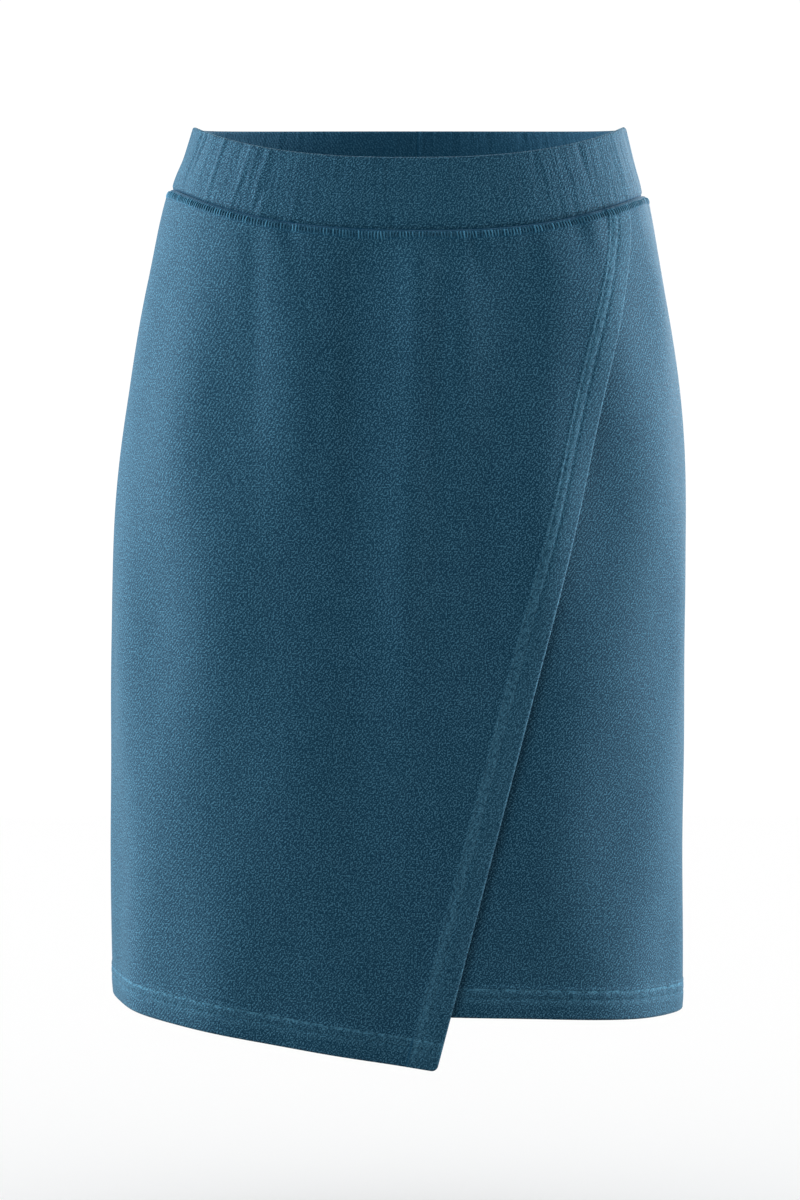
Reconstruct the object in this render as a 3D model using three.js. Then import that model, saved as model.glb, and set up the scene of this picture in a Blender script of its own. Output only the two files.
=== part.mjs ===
// A knee-length wrap skirt in soft cotton twill, filled out as when it is worn, with nobody in it.
// Millimetres. X runs to the viewer's right, Y away from the viewer (the front faces -Y), Z up.
// The origin is the middle of the waist, about half-way up the waistband.
//
// Every piece lies on one rounded body form. A place on the form is an angle and a level: the angle
// is 0 at the right side, a quarter turn at centre front, a half turn at the left side and three
// quarters of a turn at centre back. A piece's faces are so many millimetres out from the form.
import * as THREE from 'three';

// ---- Cloth ----
const CLOTH = 1.4;              // thickness of one layer
const GAP = 0.3;                // clearance at seams and between a panel and its turned edge
const TURNING = 20;             // width of the turned hems and of the wrap edge's facing
const CLOTH_LOOK = { color: 0x3c647c, roughness: 0.92, metalness: 0 };
const BAND_LOOK = { color: 0x3a617a, roughness: 0.94, metalness: 0 };

// ---- Body form: half-width and depths at the waist seam, the hips and the hem ----
const SEAM_LEVEL = -19;
const HIP_LEVEL = -280;
const HEM_LEVEL = -560;
const HALF_WIDTH = { seam: 155.6, hip: 186.3, hem: 183.4 };
const FRONT_DEPTH = { seam: 111, hip: 124, hem: 122 };
const BACK_DEPTH = { seam: 108, hip: 132, hem: 126 };
const HIP_ROUNDING = 2;         // how soon the hips fill out below the waist
const FRONT_SQUARENESS = 2.5;   // 2 is an ellipse, more is flatter in front
const BACK_SQUARENESS = 2.2;
const LEAN = [[30, 0], [-19, -1.1], [-150, -3.2], [-280, -6.3], [-600, -7.2]];  // level, X of the middle

// ---- Lines on the form ----
const RIGHT_SEAM = THREE.MathUtils.degToRad(-5);   // both side seams lie a little behind the sides
const LEFT_SEAM = THREE.MathUtils.degToRad(185);
const SIDE_SEAM_TOP = -16.2;    // waist seam at the sides
const SEAM_TILT = 2;            // it is this much lower at the right side and higher at the left
const SEAM_DIP = 32.3;           // it dips this much at centre front
const SEAM_RISE = 5;            // and rises this much at centre back
const SEAM_SHAPE = 2.4;
const WRAP_EDGE = [             // level and X of the overlap's slanting free edge, straight below the hips
  [-20, 135.6], [-44, 138.6], [-72, 136.4], [-110, 129.5],
  [-150, 121.4], [-216, 107.8], [-280, 92.4], [-600, 10.2],
];
const HIDDEN_EDGE = [[-30, -126], [-560, -71]];    // the underlap's free edge, behind the overlap
const OVERLAP_HEM_START = -528.4;                  // at the left side seam
const OVERLAP_HEM_SLOPE = 0.159;                   // drop for each millimetre along the hem
const UNDERLAP_HEM = -540;                         // at centre front
const UNDERLAP_HEM_TILT = 2;                       // lower by this at the right side
const UNDERLAP_HEM_SAG = 7;                        // hangs lower between the two

// ---- How the pieces lie on the form ----
const CURL = 1.2;               // the panels' top edges turn in to the waist seam
const CURL_HEIGHT = 6;
const SEAM_LIFT = 2.1;          // overlap's outer face above the underlap's, in the waist seam
const FACED_SEAM_LIFT = 3.7;    // the same where the facing lies between them
const LOOSE_LIFT = 4.7;         // and lower down, where the layers hang apart
const LIFT_HEIGHT = 70;
// Distances from the wrap edge: the facing's extra lift is full up to the first and gone at the second.
const FACED_STRETCH = [24, 64];

// ---- Waistband ----
const BAND_THICKNESS = 3;       // folded double cloth round the elastic
const BAND_INSET = 3;           // its outer face stands this far inside the panels' at the seam
const BAND_HALF_WIDTH = 140;    // at its top fold
const BAND_FRONT_DEPTH = 100;
const BAND_BACK_DEPTH = 103;
const BAND_SIDE_TOP = 26.8;
const BAND_DIP = 28.1;         // dip of the top fold at centre front
const BAND_RISE = 8.2;         // and its rise at centre back
const BAND_DIP_SHAPE = 1.9;
const BAND_RISE_SHAPE = 1.3;
const BAND_FOLD = 0.8;          // rounding of the top fold
const BAND_ROWS = [[1, BAND_FOLD], [0.96, 0], [0.5, 0], [0, 0]];  // share of the height, inset of both faces
const BAND_JOIN = THREE.MathUtils.degToRad(272.5);                // its ends meet at centre back

// ---- Large soft folds: X at the top, drift in X for each mm down, half-width, height, levels ----
const FOLDS = [
  { front: true, x: -74, drift: 0, width: 18, height: 1.4, top: -40, bottom: -440 },
  { front: true, x: -27, drift: -0.02, width: 19, height: -3.8, top: -40, bottom: -560 },
  { front: true, x: 6, drift: -0.03, width: 16, height: 3.2, top: -46, bottom: -540 },
  { front: true, x: 34, drift: -0.02, width: 14, height: 1.6, top: -60, bottom: -440 },
  { front: true, x: 62, drift: 0, width: 18, height: -2, top: -44, bottom: -420 },
  { front: true, x: 98, drift: -0.1, width: 22, height: 2, top: -44, bottom: -420 },
  { front: false, x: 34, drift: 0.02, width: 24, height: -3.6, top: -12, bottom: -330 },
  { front: false, x: -52, drift: -0.02, width: 22, height: -3, top: -12, bottom: -300 },
  { front: false, x: -8, drift: 0, width: 20, height: 2.4, top: -12, bottom: -260 },
  { front: false, x: 92, drift: 0.03, width: 24, height: -2.4, top: -14, bottom: -420 },
];
const FOLD_START = 30;          // a fold reaches its full height this far below its top

// ---- Fineness of the facets ----
const FACING_COLUMNS = 3;
const OVERLAP_COLUMNS = 26;
const UNDERLAP_COLUMNS = 21;
const BACK_COLUMNS = 31;
const BAND_COLUMNS = 72;
const PANEL_ROWS = 19;
const CROSSING_PASSES = 14;     // passes that settle where an upright line crosses a level one

// A smooth line through points given as [level, value], as a function of the level.
function smoothLine(points) {
  const rising = [...points].sort((a, b) => a[0] - b[0]);
  const pitch = (k) => (rising[k + 1][1] - rising[k][1]) / (rising[k + 1][0] - rising[k][0]);
  const slope = rising.map((_, k) => {
    const before = pitch(Math.max(k - 1, 0));
    const after = pitch(Math.min(k, rising.length - 2));
    return (before + after) / 2;
  });
  return (level) => {
    let k = 0;
    while (k < rising.length - 2 && level > rising[k + 1][0]) {
      k += 1;
    }
    const span = rising[k + 1][0] - rising[k][0];
    const t = (level - rising[k][0]) / span;
    const start = rising[k][1] * (1 + 2 * t) * (1 - t) ** 2 + slope[k] * span * t * (1 - t) ** 2;
    const end = rising[k + 1][1] * t * t * (3 - 2 * t) + slope[k + 1] * span * t * t * (t - 1);
    return start + end;
  };
}

// 0 before the start and 1 past the end, with a soft change between them.
function ease(value, start, end) {
  const t = THREE.MathUtils.clamp((value - start) / (end - start), 0, 1);
  return t * t * (3 - 2 * t);
}

// ---- The body form ----

// A half-width or depth at a level: it fills out from the waist to the hips, then runs straight.
function reach(size, level) {
  if (level < HIP_LEVEL) {
    return size.hip + (size.hem - size.hip) * (level - HIP_LEVEL) / (HEM_LEVEL - HIP_LEVEL);
  }
  const aboveHips = (level - HIP_LEVEL) / (SEAM_LEVEL - HIP_LEVEL);
  return size.hip - (size.hip - size.seam) * aboveHips ** HIP_ROUNDING;
}

// The rounded section at an angle: how far across it is and how far out in front, each from -1 to 1.
function section(angle) {
  const power = Math.sin(angle) > 0 ? FRONT_SQUARENESS : BACK_SQUARENESS;
  const across = Math.cos(angle);
  const out = Math.sin(angle);
  const radius = (Math.abs(across) ** power + Math.abs(out) ** power) ** (-1 / power);
  return { across: across * radius, out: out * radius };
}

const middle = smoothLine(LEAN);

function form(angle, level) {
  const { across, out } = section(angle);
  const depth = out > 0 ? FRONT_DEPTH : BACK_DEPTH;
  const x = middle(level) + reach(HALF_WIDTH, level) * across;
  return new THREE.Vector3(x, -reach(depth, level) * out, level);
}

// The outward direction of any surface given as a function of an angle and a height.
function outward(surface, angle, height, heightStep) {
  const angleStep = 0.01;
  const round = surface(angle + angleStep, height).sub(surface(angle - angleStep, height));
  const down = surface(angle, height - heightStep).sub(surface(angle, height + heightStep));
  return round.cross(down).normalize();
}

// How far the large folds push the cloth out at a point of the form.
function foldHeight(point) {
  let total = 0;
  for (const fold of FOLDS) {
    if (fold.front === point.y < 0) {
      const drop = fold.top - point.z;
      const away = (point.x - fold.x - fold.drift * drop) / fold.width;
      const strength = ease(drop, 0, FOLD_START) * (1 - ease(drop, FOLD_START, fold.top - fold.bottom));
      total += fold.height * strength * Math.exp(-away * away);
    }
  }
  return total;
}

// A point of the cloth, so many millimetres out from the form.
function clothPoint(angle, level, out) {
  const point = form(angle, level);
  return point.addScaledVector(outward(form, angle, level, 1), out + foldHeight(point));
}

// ---- Lines that bound the pieces ----

function waistSeam(angle) {
  const { across, out } = section(angle);
  const shape = out > 0 ? -SEAM_DIP * out ** SEAM_SHAPE : SEAM_RISE * (-out) ** SEAM_SHAPE;
  return SIDE_SEAM_TOP - SEAM_TILT * across + shape;
}

// The angle at which the front of the form has a given X.
function frontAngle(x, level) {
  const across = THREE.MathUtils.clamp((x - middle(level)) / reach(HALF_WIDTH, level), -1, 1);
  const out = (1 - Math.abs(across) ** FRONT_SQUARENESS) ** (1 / FRONT_SQUARENESS);
  return Math.atan2(out, across);
}

// The angle that lies a distance further round the form, towards the left in front.
function further(angle, level, distance) {
  const steps = 4;
  let reached = angle;
  for (let step = 0; step < steps; step += 1) {
    const speed = form(reached + 0.005, level).distanceTo(form(reached - 0.005, level)) / 0.01;
    reached += distance / steps / speed;
  }
  return reached;
}

// The distance round the form from one angle to another at a level.
function girth(from, to, level) {
  const chords = 48;
  let total = 0;
  for (let k = 0; k < chords; k += 1) {
    const start = form(from + (to - from) * k / chords, level);
    total += start.distanceTo(form(from + (to - from) * (k + 1) / chords, level));
  }
  return total;
}

const wrapEdgeX = smoothLine(WRAP_EDGE);
const hiddenEdgeX = smoothLine(HIDDEN_EDGE);
const wrapEdge = (level) => frontAngle(wrapEdgeX(level), level);
const hiddenEdge = (level) => frontAngle(hiddenEdgeX(level), level);
const facingEdge = (level) => further(wrapEdge(level), level, TURNING);
const rightSeam = () => RIGHT_SEAM;
const leftSeam = () => LEFT_SEAM;

// Half a seam's clearance to either side of a line.
const before = (line) => (level) => further(line(level), level, -GAP / 2);
const after = (line) => (level) => further(line(level), level, GAP / 2);

const overlapHem = (angle) => {
  return OVERLAP_HEM_START - OVERLAP_HEM_SLOPE * girth(angle, LEFT_SEAM, OVERLAP_HEM_START);
};
const underlapHem = (angle) => {
  const { across, out } = section(angle);
  const right = Math.max(0, across);
  return UNDERLAP_HEM - UNDERLAP_HEM_TILT * right - UNDERLAP_HEM_SAG * right ** 2 * Math.max(0, out);
};
const backHem = (angle) => {
  const towardsRight = (section(angle).across + 1) / 2;
  return THREE.MathUtils.lerp(OVERLAP_HEM_START, underlapHem(RIGHT_SEAM), towardsRight);
};

// ---- How far out each layer lies ----

// The panels' top edges curl in where they go into the waist seam.
const curl = (angle, level) => -CURL * (1 - ease(waistSeam(angle) - level, 0, CURL_HEIGHT));

// The overlap lies over the underlap, closest in the waist seam, and comes down to the form at the left side.
function lift(angle, level) {
  const fromEdge = (angle - wrapEdge(level)) * reach(HALF_WIDTH, level);
  const inSeam = THREE.MathUtils.lerp(FACED_SEAM_LIFT, SEAM_LIFT, ease(fromEdge, ...FACED_STRETCH));
  const loose = ease(waistSeam(angle) - level, 0, LIFT_HEIGHT);
  const overUnderlap = 1 - ease(angle, hiddenEdge(level), LEFT_SEAM);
  return THREE.MathUtils.lerp(inSeam, LOOSE_LIFT, loose) * overUnderlap;
}

const onForm = (angle, level) => curl(angle, level);
const onOverlap = (angle, level) => curl(angle, level) + lift(angle, level);
const turnedIn = (layer) => (angle, level) => layer(angle, level) - CLOTH - GAP;

// ---- Building walls of cloth ----

// Upright lines from one line to another, as functions of the level.
function uprights(from, to, count) {
  const lines = [];
  for (let k = 0; k <= count; k += 1) {
    lines.push((level) => THREE.MathUtils.lerp(from(level), to(level), k / count));
  }
  return lines;
}

// Level lines of a panel: the waist seam, the foot of its curl, even steps, the hem's top and the hem.
function panelRows(hem) {
  const lines = [waistSeam];
  for (let k = 0; k <= PANEL_ROWS; k += 1) {
    lines.push((angle) => {
      return THREE.MathUtils.lerp(waistSeam(angle) - CURL_HEIGHT, hem(angle) + TURNING, k / PANEL_ROWS);
    });
  }
  lines.push(hem);
  return lines;
}

const hemRows = (hem) => [(angle) => hem(angle) + TURNING, hem];

// Where each upright line crosses each level line.
function crossings(columns, rows) {
  return columns.map((column) => rows.map((row) => {
    let level = HIP_LEVEL;
    for (let pass = 0; pass < CROSSING_PASSES; pass += 1) {
      level = row(column(level));
    }
    return { angle: column(level), level };
  }));
}

// A closed wall between two grids of points, given by columns that run on round the form.
function wall(outer, inner) {
  const rows = outer[0].length;
  const columns = outer.length;
  const positions = [];
  for (const point of [...outer.flat(), ...inner.flat()]) {
    positions.push(point.x, point.y, point.z);
  }
  const faces = [];
  const out = (i, j) => i * rows + j;
  const back = (i, j) => (columns + i) * rows + j;
  const quad = (a, b, c, d) => faces.push(a, b, c, a, c, d);
  for (let i = 0; i + 1 < columns; i += 1) {
    for (let j = 0; j + 1 < rows; j += 1) {
      quad(out(i, j), out(i + 1, j), out(i + 1, j + 1), out(i, j + 1));
      quad(back(i, j), back(i, j + 1), back(i + 1, j + 1), back(i + 1, j));
    }
    quad(out(i, 0), back(i, 0), back(i + 1, 0), out(i + 1, 0));
    quad(out(i, rows - 1), out(i + 1, rows - 1), back(i + 1, rows - 1), back(i, rows - 1));
  }
  for (let j = 0; j + 1 < rows; j += 1) {
    quad(out(0, j), out(0, j + 1), back(0, j + 1), back(0, j));
    quad(out(columns - 1, j), back(columns - 1, j), back(columns - 1, j + 1), out(columns - 1, j + 1));
  }
  const geometry = new THREE.BufferGeometry();
  geometry.setAttribute('position', new THREE.Float32BufferAttribute(positions, 3));
  geometry.setIndex(faces);
  geometry.computeVertexNormals();
  return geometry;
}

function piece(name, geometry, look) {
  const mesh = new THREE.Mesh(geometry, new THREE.MeshStandardMaterial(look));
  mesh.name = name;
  return mesh;
}

// A piece of cloth on the form, with its outer face where its layer says.
function clothPiece(name, columns, rows, layer) {
  const grid = crossings(columns, rows);
  const face = (depth) => grid.map((column) => column.map(({ angle, level }) => {
    return clothPoint(angle, level, layer(angle, level) - depth);
  }));
  return piece(name, wall(face(0), face(CLOTH)), CLOTH_LOOK);
}

// ---- Pieces ----

function backPieces() {
  const columns = uprights(after(leftSeam), before(() => RIGHT_SEAM + 2 * Math.PI), BACK_COLUMNS);
  return [
    clothPiece('back_panel', columns, panelRows(backHem), onForm),
    clothPiece('back_hem', columns, hemRows(backHem), turnedIn(onForm)),
  ];
}

function underlapPieces() {
  const columns = uprights(after(rightSeam), hiddenEdge, UNDERLAP_COLUMNS);
  return [
    clothPiece('underlap_panel', columns, panelRows(underlapHem), onForm),
    clothPiece('underlap_hem', columns, hemRows(underlapHem), turnedIn(onForm)),
  ];
}

function overlapPieces() {
  const faced = uprights(wrapEdge, facingEdge, FACING_COLUMNS);
  const plain = uprights(facingEdge, before(leftSeam), OVERLAP_COLUMNS);
  const hemColumns = [after(facingEdge), ...plain.slice(1)];
  const rows = panelRows(overlapHem);
  return [
    clothPiece('overlap_panel', [...faced, ...plain.slice(1)], rows, onOverlap),
    clothPiece('overlap_facing', faced, rows, turnedIn(onOverlap)),
    clothPiece('overlap_hem', hemColumns, hemRows(overlapHem), turnedIn(onOverlap)),
  ];
}

// The band's outer face: straight up from inside the waist seam to the top fold.
function bandFace(angle, share) {
  const { across, out } = section(angle);
  const level = waistSeam(angle) + GAP;
  const foot = form(angle, level).addScaledVector(outward(form, angle, level, 1), -BAND_INSET);
  const depth = out > 0 ? BAND_FRONT_DEPTH : BAND_BACK_DEPTH;
  const height = out > 0 ? -BAND_DIP * out ** BAND_DIP_SHAPE : BAND_RISE * (-out) ** BAND_RISE_SHAPE;
  const top = new THREE.Vector3(BAND_HALF_WIDTH * across, -depth * out, BAND_SIDE_TOP + height);
  return foot.lerp(top, share);
}

function waistband() {
  const turn = girth(BAND_JOIN, BAND_JOIN + 2 * Math.PI, SEAM_LEVEL);
  const spare = Math.PI * GAP / turn;
  const outer = [];
  const inner = [];
  for (let k = 0; k <= BAND_COLUMNS; k += 1) {
    const angle = BAND_JOIN + spare + (2 * Math.PI - 2 * spare) * k / BAND_COLUMNS;
    const face = (depth) => BAND_ROWS.map(([share, inset]) => {
      const inwards = depth + (depth > 0 ? -inset : inset);
      return bandFace(angle, share).addScaledVector(outward(bandFace, angle, share, 0.02), -inwards);
    });
    outer.push(face(0));
    inner.push(face(BAND_THICKNESS));
  }
  return piece('waistband', wall(outer, inner), BAND_LOOK);
}

const skirt = new THREE.Group();
skirt.add(waistband(), ...backPieces(), ...underlapPieces(), ...overlapPieces());

export default skirt;
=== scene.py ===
"""A knee-length wrap skirt in soft cotton twill, filled out as when it is worn, over its packed solids.

X runs to the viewer's right, Y away from the viewer, Z up, in metres; the front faces -Y. A place on
the cloth is an angle and a level: the angle is 0 at the right side, a quarter turn at centre front, a
half turn at the left side and three quarters of a turn at centre back.
"""

import math

import bmesh
import bpy
import numpy as np
from bpy.props import FloatProperty, FloatVectorProperty, IntProperty, PointerProperty
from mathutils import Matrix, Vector


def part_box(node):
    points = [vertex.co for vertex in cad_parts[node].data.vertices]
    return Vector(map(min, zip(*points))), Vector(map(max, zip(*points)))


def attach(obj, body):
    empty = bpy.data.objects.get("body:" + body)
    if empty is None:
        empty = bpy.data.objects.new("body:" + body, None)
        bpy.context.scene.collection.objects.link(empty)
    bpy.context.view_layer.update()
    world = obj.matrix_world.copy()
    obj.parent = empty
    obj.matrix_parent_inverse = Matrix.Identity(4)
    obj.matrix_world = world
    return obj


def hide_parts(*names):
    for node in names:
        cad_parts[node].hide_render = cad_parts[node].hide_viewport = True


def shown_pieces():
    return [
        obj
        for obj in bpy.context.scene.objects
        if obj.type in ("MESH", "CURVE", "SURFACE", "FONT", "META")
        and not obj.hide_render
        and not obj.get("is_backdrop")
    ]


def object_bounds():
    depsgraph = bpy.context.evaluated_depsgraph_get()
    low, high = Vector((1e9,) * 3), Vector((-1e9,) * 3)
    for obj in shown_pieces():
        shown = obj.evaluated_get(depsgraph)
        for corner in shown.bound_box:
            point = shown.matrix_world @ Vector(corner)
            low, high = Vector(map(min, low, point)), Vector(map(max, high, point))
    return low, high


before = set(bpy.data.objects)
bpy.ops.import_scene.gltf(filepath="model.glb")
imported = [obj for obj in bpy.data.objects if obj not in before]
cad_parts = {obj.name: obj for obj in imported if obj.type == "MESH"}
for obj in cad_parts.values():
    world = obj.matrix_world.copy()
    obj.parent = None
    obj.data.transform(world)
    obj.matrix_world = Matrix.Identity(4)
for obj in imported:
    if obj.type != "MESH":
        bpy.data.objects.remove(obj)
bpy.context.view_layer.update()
BACK_LOW, BACK_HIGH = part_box("back_panel")

bl_info = {
    "name": "Wrap Skirt",
    "version": (1, 0, 0),
    "blender": (4, 5, 0),
    "location": "3D View > Sidebar > Wrap Skirt",
    "description": "Makes the cloth, stitching and stage of a wrap skirt over its packed solids",
    "category": "Mesh",
}

MM = 0.001
TURN = 2 * math.pi
UV_MAP = "Cloth"

# ---- Body form ----
SEAM_LEVEL = -19 * MM
HIP_LEVEL = -280 * MM
HEM_LEVEL = -560 * MM
HIP_ROUNDING = 2
FRONT_SQUARENESS = 2.5
BACK_SQUARENESS = 2.2
RIGHT_SEAM = math.radians(-5)
LEFT_SEAM = math.radians(185)
SEAM_SHAPE = 2.4
GAP = 0.3 * MM
SEAM_LAP = 0.4 * MM

# ---- Lines on the form: level and X, in millimetres ----
LEAN = ((30, 0), (-19, -1.1), (-150, -3.2), (-280, -6.3), (-600, -7.2))
WRAP_EDGE = (
    (-20, 135.6),
    (-44, 138.6),
    (-72, 136.4),
    (-110, 129.5),
    (-150, 121.4),
    (-216, 107.8),
    (-280, 92.4),
    (-600, 10.2),
)
HIDDEN_EDGE = ((-30, -126), (-560, -71))

# ---- Soft folds, in millimetres: in front or behind, X at the top, drift in X for each millimetre
# down, half-width, height, level of the top and of the bottom ----
FOLDS = (
    (True, -74, 0, 16, 0.8, -40, -440),
    (True, -26, -0.02, 17, -5.2, -40, -560),
    (True, 6, -0.03, 13, 4.5, -46, -540),
    (True, 33, -0.02, 11, 2.4, -60, -440),
    (True, 62, 0, 16, -2, -44, -420),
    (True, 98, -0.1, 22, 2, -44, -420),
    (False, 34, 0.02, 22, -3.6, -12, -330),
    (False, -52, -0.02, 22, -3, -12, -300),
    (False, -8, 0, 18, 2.6, -12, -280),
    (False, 92, 0.03, 24, -2.4, -14, -420),
)
FOLD_START = 30 * MM
# Narrower creases that lie on the folds.
CREASES = (
    (True, 41, 0.02, 3.2, -1.5, -44, -110),
    (True, -40, 0.02, 7, -0.9, -60, -300),
    (True, -56, -0.01, 5, -0.5, -120, -330),
    (True, 20, 0.02, 5, -0.8, -52, -220),
    (True, -96, 0.01, 6, -0.9, -40, -260),
    (True, 76, 0.03, 6, -0.9, -40, -200),
    (True, 104, 0.02, 5, -0.5, -30, -140),
    (False, 40, 0.03, 7, -0.8, -14, -220),
    (False, -46, -0.03, 6, -0.7, -14, -200),
    (False, -100, -0.02, 7, -0.7, -12, -220),
    (False, 112, 0.02, 6, -0.6, -14, -200),
)

# ---- Small shapes of the sewn cloth ----
TUCKS = 90                  # short tucks under the waist seam
TUCK_SPAN = 1.1             # round the skirt, in metres
TUCK_WIDTHS = (2.2, 6)      # in millimetres, like the next two
TUCK_HEIGHT = 0.42
TUCK_FADES = (14, 50)
SWELLS = 7                  # very shallow swells below the tucks
SWELL_TURNS = (9, 17)       # waves in one turn
SWELL_RISE = 5              # at most so many waves in each metre of height
SWELL_HEIGHTS = (0.15, 0.45)
SHAPES_SEED = 11
CALM = 14 * MM              # no small shapes this close to a side seam
SEAM_ROLL = 0.7 * MM        # how far a top edge rolls in at the waist seam, and over what height
SEAM_ROLL_HEIGHT = 1.7 * MM
RIDGE = 0.45 * MM           # how far a turned edge's double cloth stands out
PUCKER = 0.16 * MM          # height of the puckers between its stitched lines
PUCKER_STEP = 8.6 * MM
PUCKER_CHANGE = 41 * MM     # over this length the puckers' spacing comes and goes
LINE_GROOVE = 0.4 * MM      # how deep a stitched line draws the cloth in, and its half-width
LINE_GROOVE_WIDTH = 0.7 * MM
SEAM_GROOVE = 1.3 * MM      # how deep a side seam draws it in, and its half-width
SEAM_GROOVE_WIDTH = 2.6 * MM
STITCH_RISE = 0.22 * MM     # how far a stitched line's crowns stand out
NEAR_LINE_RISE = -0.02 * MM # on the hems the near line is pulled in tighter
SUNK_RISE = -0.04 * MM      # and so is the wrap edge's below this level
SUNK_BELOW = -200 * MM
LADDER_RISE = 0.6 * MM

# ---- Fineness of the meshes, in millimetres from an edge ----
ROUND_STEPS = (0, 0.076, 0.293, 0.617, 1)
SEAM_STEPS = (1.2, 1.8, 2.6, 3.6, 5, 7)
WAIST_STEPS = (1.1, 1.7, 2.4, 3.3, 4.3, 5.4, 6.8, 8.6, 11, 14)
TURNED_STEPS = (
    2.2, 3.4, 5, 6.8, 8.6, 10.4, 11.6, 12.3, 12.9, 13.6, 14.6, 15.8, 16.9, 17.5, 18.1, 18.7,
    19.3, 19.8, 20.3, 20.9, 21.8, 23.2, 25.2, 28,
)
PANEL_ROWS = 112
PANEL_COLUMNS = {"overlap_front": 118, "underlap_front": 124, "back": 176}
CROSSING_PASSES = 12
BAND_TOP_STEPS = (2.2, 3.2, 4.6, 6.4, 8.6, 11)
BAND_FOOT_STEPS = (2, 3, 4, 4.8, 5.6, 6.6, 8, 10, 12.5)
BAND_FOOT_ROUNDING = 1.2 * MM
BAND_JOIN = math.radians(272.5)   # the band's join, close to centre back
JOIN_STEPS = (0.4, 0.8, 1.2, 1.7, 2.4, 3.2)
JOIN_GROOVE = 0.8 * MM
JOIN_GROOVE_WIDTH = 1.1 * MM
GATHER_WIDTHS = (1.3, 3.6)  # in millimetres
GATHER_SPREAD = 0.45        # spread of the gathers' strengths
GATHER_FADES = (0.35, 1.3)  # shares of the band's height over which they fade
GATHER_LEAN = 0.05
GATHERS_FROM_TOP = 0.68     # share of them that start at the top fold
BAND_TUCK = 4 * MM          # how far the band's foot runs down behind the seam
BAND_ROWS = 13
BAND_COLUMNS = 600

# ---- Stage: places are from the middle of the skirt, in metres ----
FLOOR_REACH = 6
FLOOR_WHITE = 0.97
SKY_STRENGTH = 1.03
KEY_PLACES = ((-1.0, -1.3, 0.6), (1.0, 1.3, 0.6))
KEY_SIZE = (0.8, 0.8)
SIDE_LIGHT_SIZE = (0.9, 1.4)
SIDE_LIGHT_HEIGHT = 0.6
LENS = 138.46               # in millimetres
CAMERA_X = -5.85 * MM

# ---- Weave, in metres. The ribs are drawn coarser than a real twill's, so that they show ----
RIB_STEP = 1.9 * MM
RIB_ANGLE = math.radians(50)
YARN_SIZE = (2.2 * MM, 0.9 * MM)
# Cloth drawn up on elastic: fine upright ripples about 3 mm apart.
RIPPLE_SIZE = (3.1 * MM, 17 * MM)
# Paler places: a painted highlight along the folded wrap edge, and paler bands on the stitched ridges of the
# hems and facing: the distance stored on the mesh, where it starts and ends in millimetres, and how pale it
# is.
PALE_BANDS_AND_HIGHLIGHT = (
    # The first row is a painted highlight, where the wrap edge's rounded fold would catch the side lights.
    ("from_wrap_edge", 0, 1.2, 0.16),
    ("from_wrap_edge", 1.2, 20, 0.05),
    ("from_wrap_edge", 13, 20, 0.08),
    ("above_hem", 17.2, 18.6, 0.30),
    ("above_hem", 9, 19, 0.05),
)
# Painted shade: cloth down in a seam, between the bars of the waist's coverstitch, along the side seams and
# at the facing's inner end is mixed towards the deep colour, as if in shade.
SHADED = (
    ("below_waist", -0.9, 0.9, 0.85),
    ("below_waist", 1.3, 6.3, 0.3),
    ("from_side_seam", -0.6, 0.6, 0.6),
    ("facing_end", -0.6, 0.6, 0.6),
)


def linear(hex_colour):
    """Linear red, green and blue of an sRGB hex colour."""
    channels = [int(hex_colour[k : k + 2], 16) / 255 for k in (1, 3, 5)]
    return tuple(c / 12.92 if c <= 0.04045 else ((c + 0.055) / 1.055) ** 2.4 for c in channels)


def length(name, description, default):
    """A property that holds a length in metres."""
    return FloatProperty(
        name=name, description=description, default=default, unit="LENGTH", subtype="DISTANCE", precision=4
    )


def power(name, description, default):
    """A property that holds a power in watts."""
    return FloatProperty(name=name, description=description, default=default, unit="POWER")


def colour(name, description, hex_colour):
    """A property that holds a colour."""
    return FloatVectorProperty(
        name=name, description=description, default=linear(hex_colour), subtype="COLOR", size=3, min=0, max=1
    )


class SkirtForm(bpy.types.PropertyGroup):
    """Sizes of the rounded form the cloth lies on, and of the lines that bound the pieces."""

    seam_half_width: length("Waist half-width", "Half-width at the waist seam", 0.1556)
    hip_half_width: length("Hip half-width", "Half-width at the hips", (BACK_HIGH.x - BACK_LOW.x) / 2)
    hem_half_width: length("Hem half-width", "Half-width at the hem", 0.1834)
    seam_front_depth: length("Waist front depth", "From the middle to the front at the waist seam", 0.111)
    hip_front_depth: length("Hip front depth", "From the middle to the front at the hips", 0.124)
    hem_front_depth: length("Hem front depth", "From the middle to the front at the hem", 0.122)
    seam_back_depth: length("Waist back depth", "From the middle to the back at the waist seam", 0.108)
    hip_back_depth: length("Hip back depth", "From the middle to the back at the hips", BACK_HIGH.y)
    hem_back_depth: length("Hem back depth", "From the middle to the back at the hem", 0.126)
    side_seam_top: length("Side of the waist seam", "Level of the waist seam at the sides", -0.0162)
    seam_tilt: length("Seam tilt", "How much lower the waist seam is at the right side", 0.002)
    seam_dip: length("Seam dip", "How far the waist seam dips at centre front", 0.0323)
    seam_rise: length("Seam rise", "How far the waist seam rises at centre back", 0.005)
    overlap_hem: length("Overlap hem", "Level of the overlap's hem at the left side seam", -0.5284)
    overlap_slope: FloatProperty(
        name="Overlap slope", description="Drop of the overlap's hem for each metre along it", default=0.159
    )
    underlap_hem: length("Underlap hem", "Level of the underlap's hem at centre front", -0.540)
    underlap_tilt: length("Underlap tilt", "How much lower that hem is at the right side", 0.002)
    underlap_sag: length("Underlap sag", "How much lower it hangs between the two", 0.007)


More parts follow.
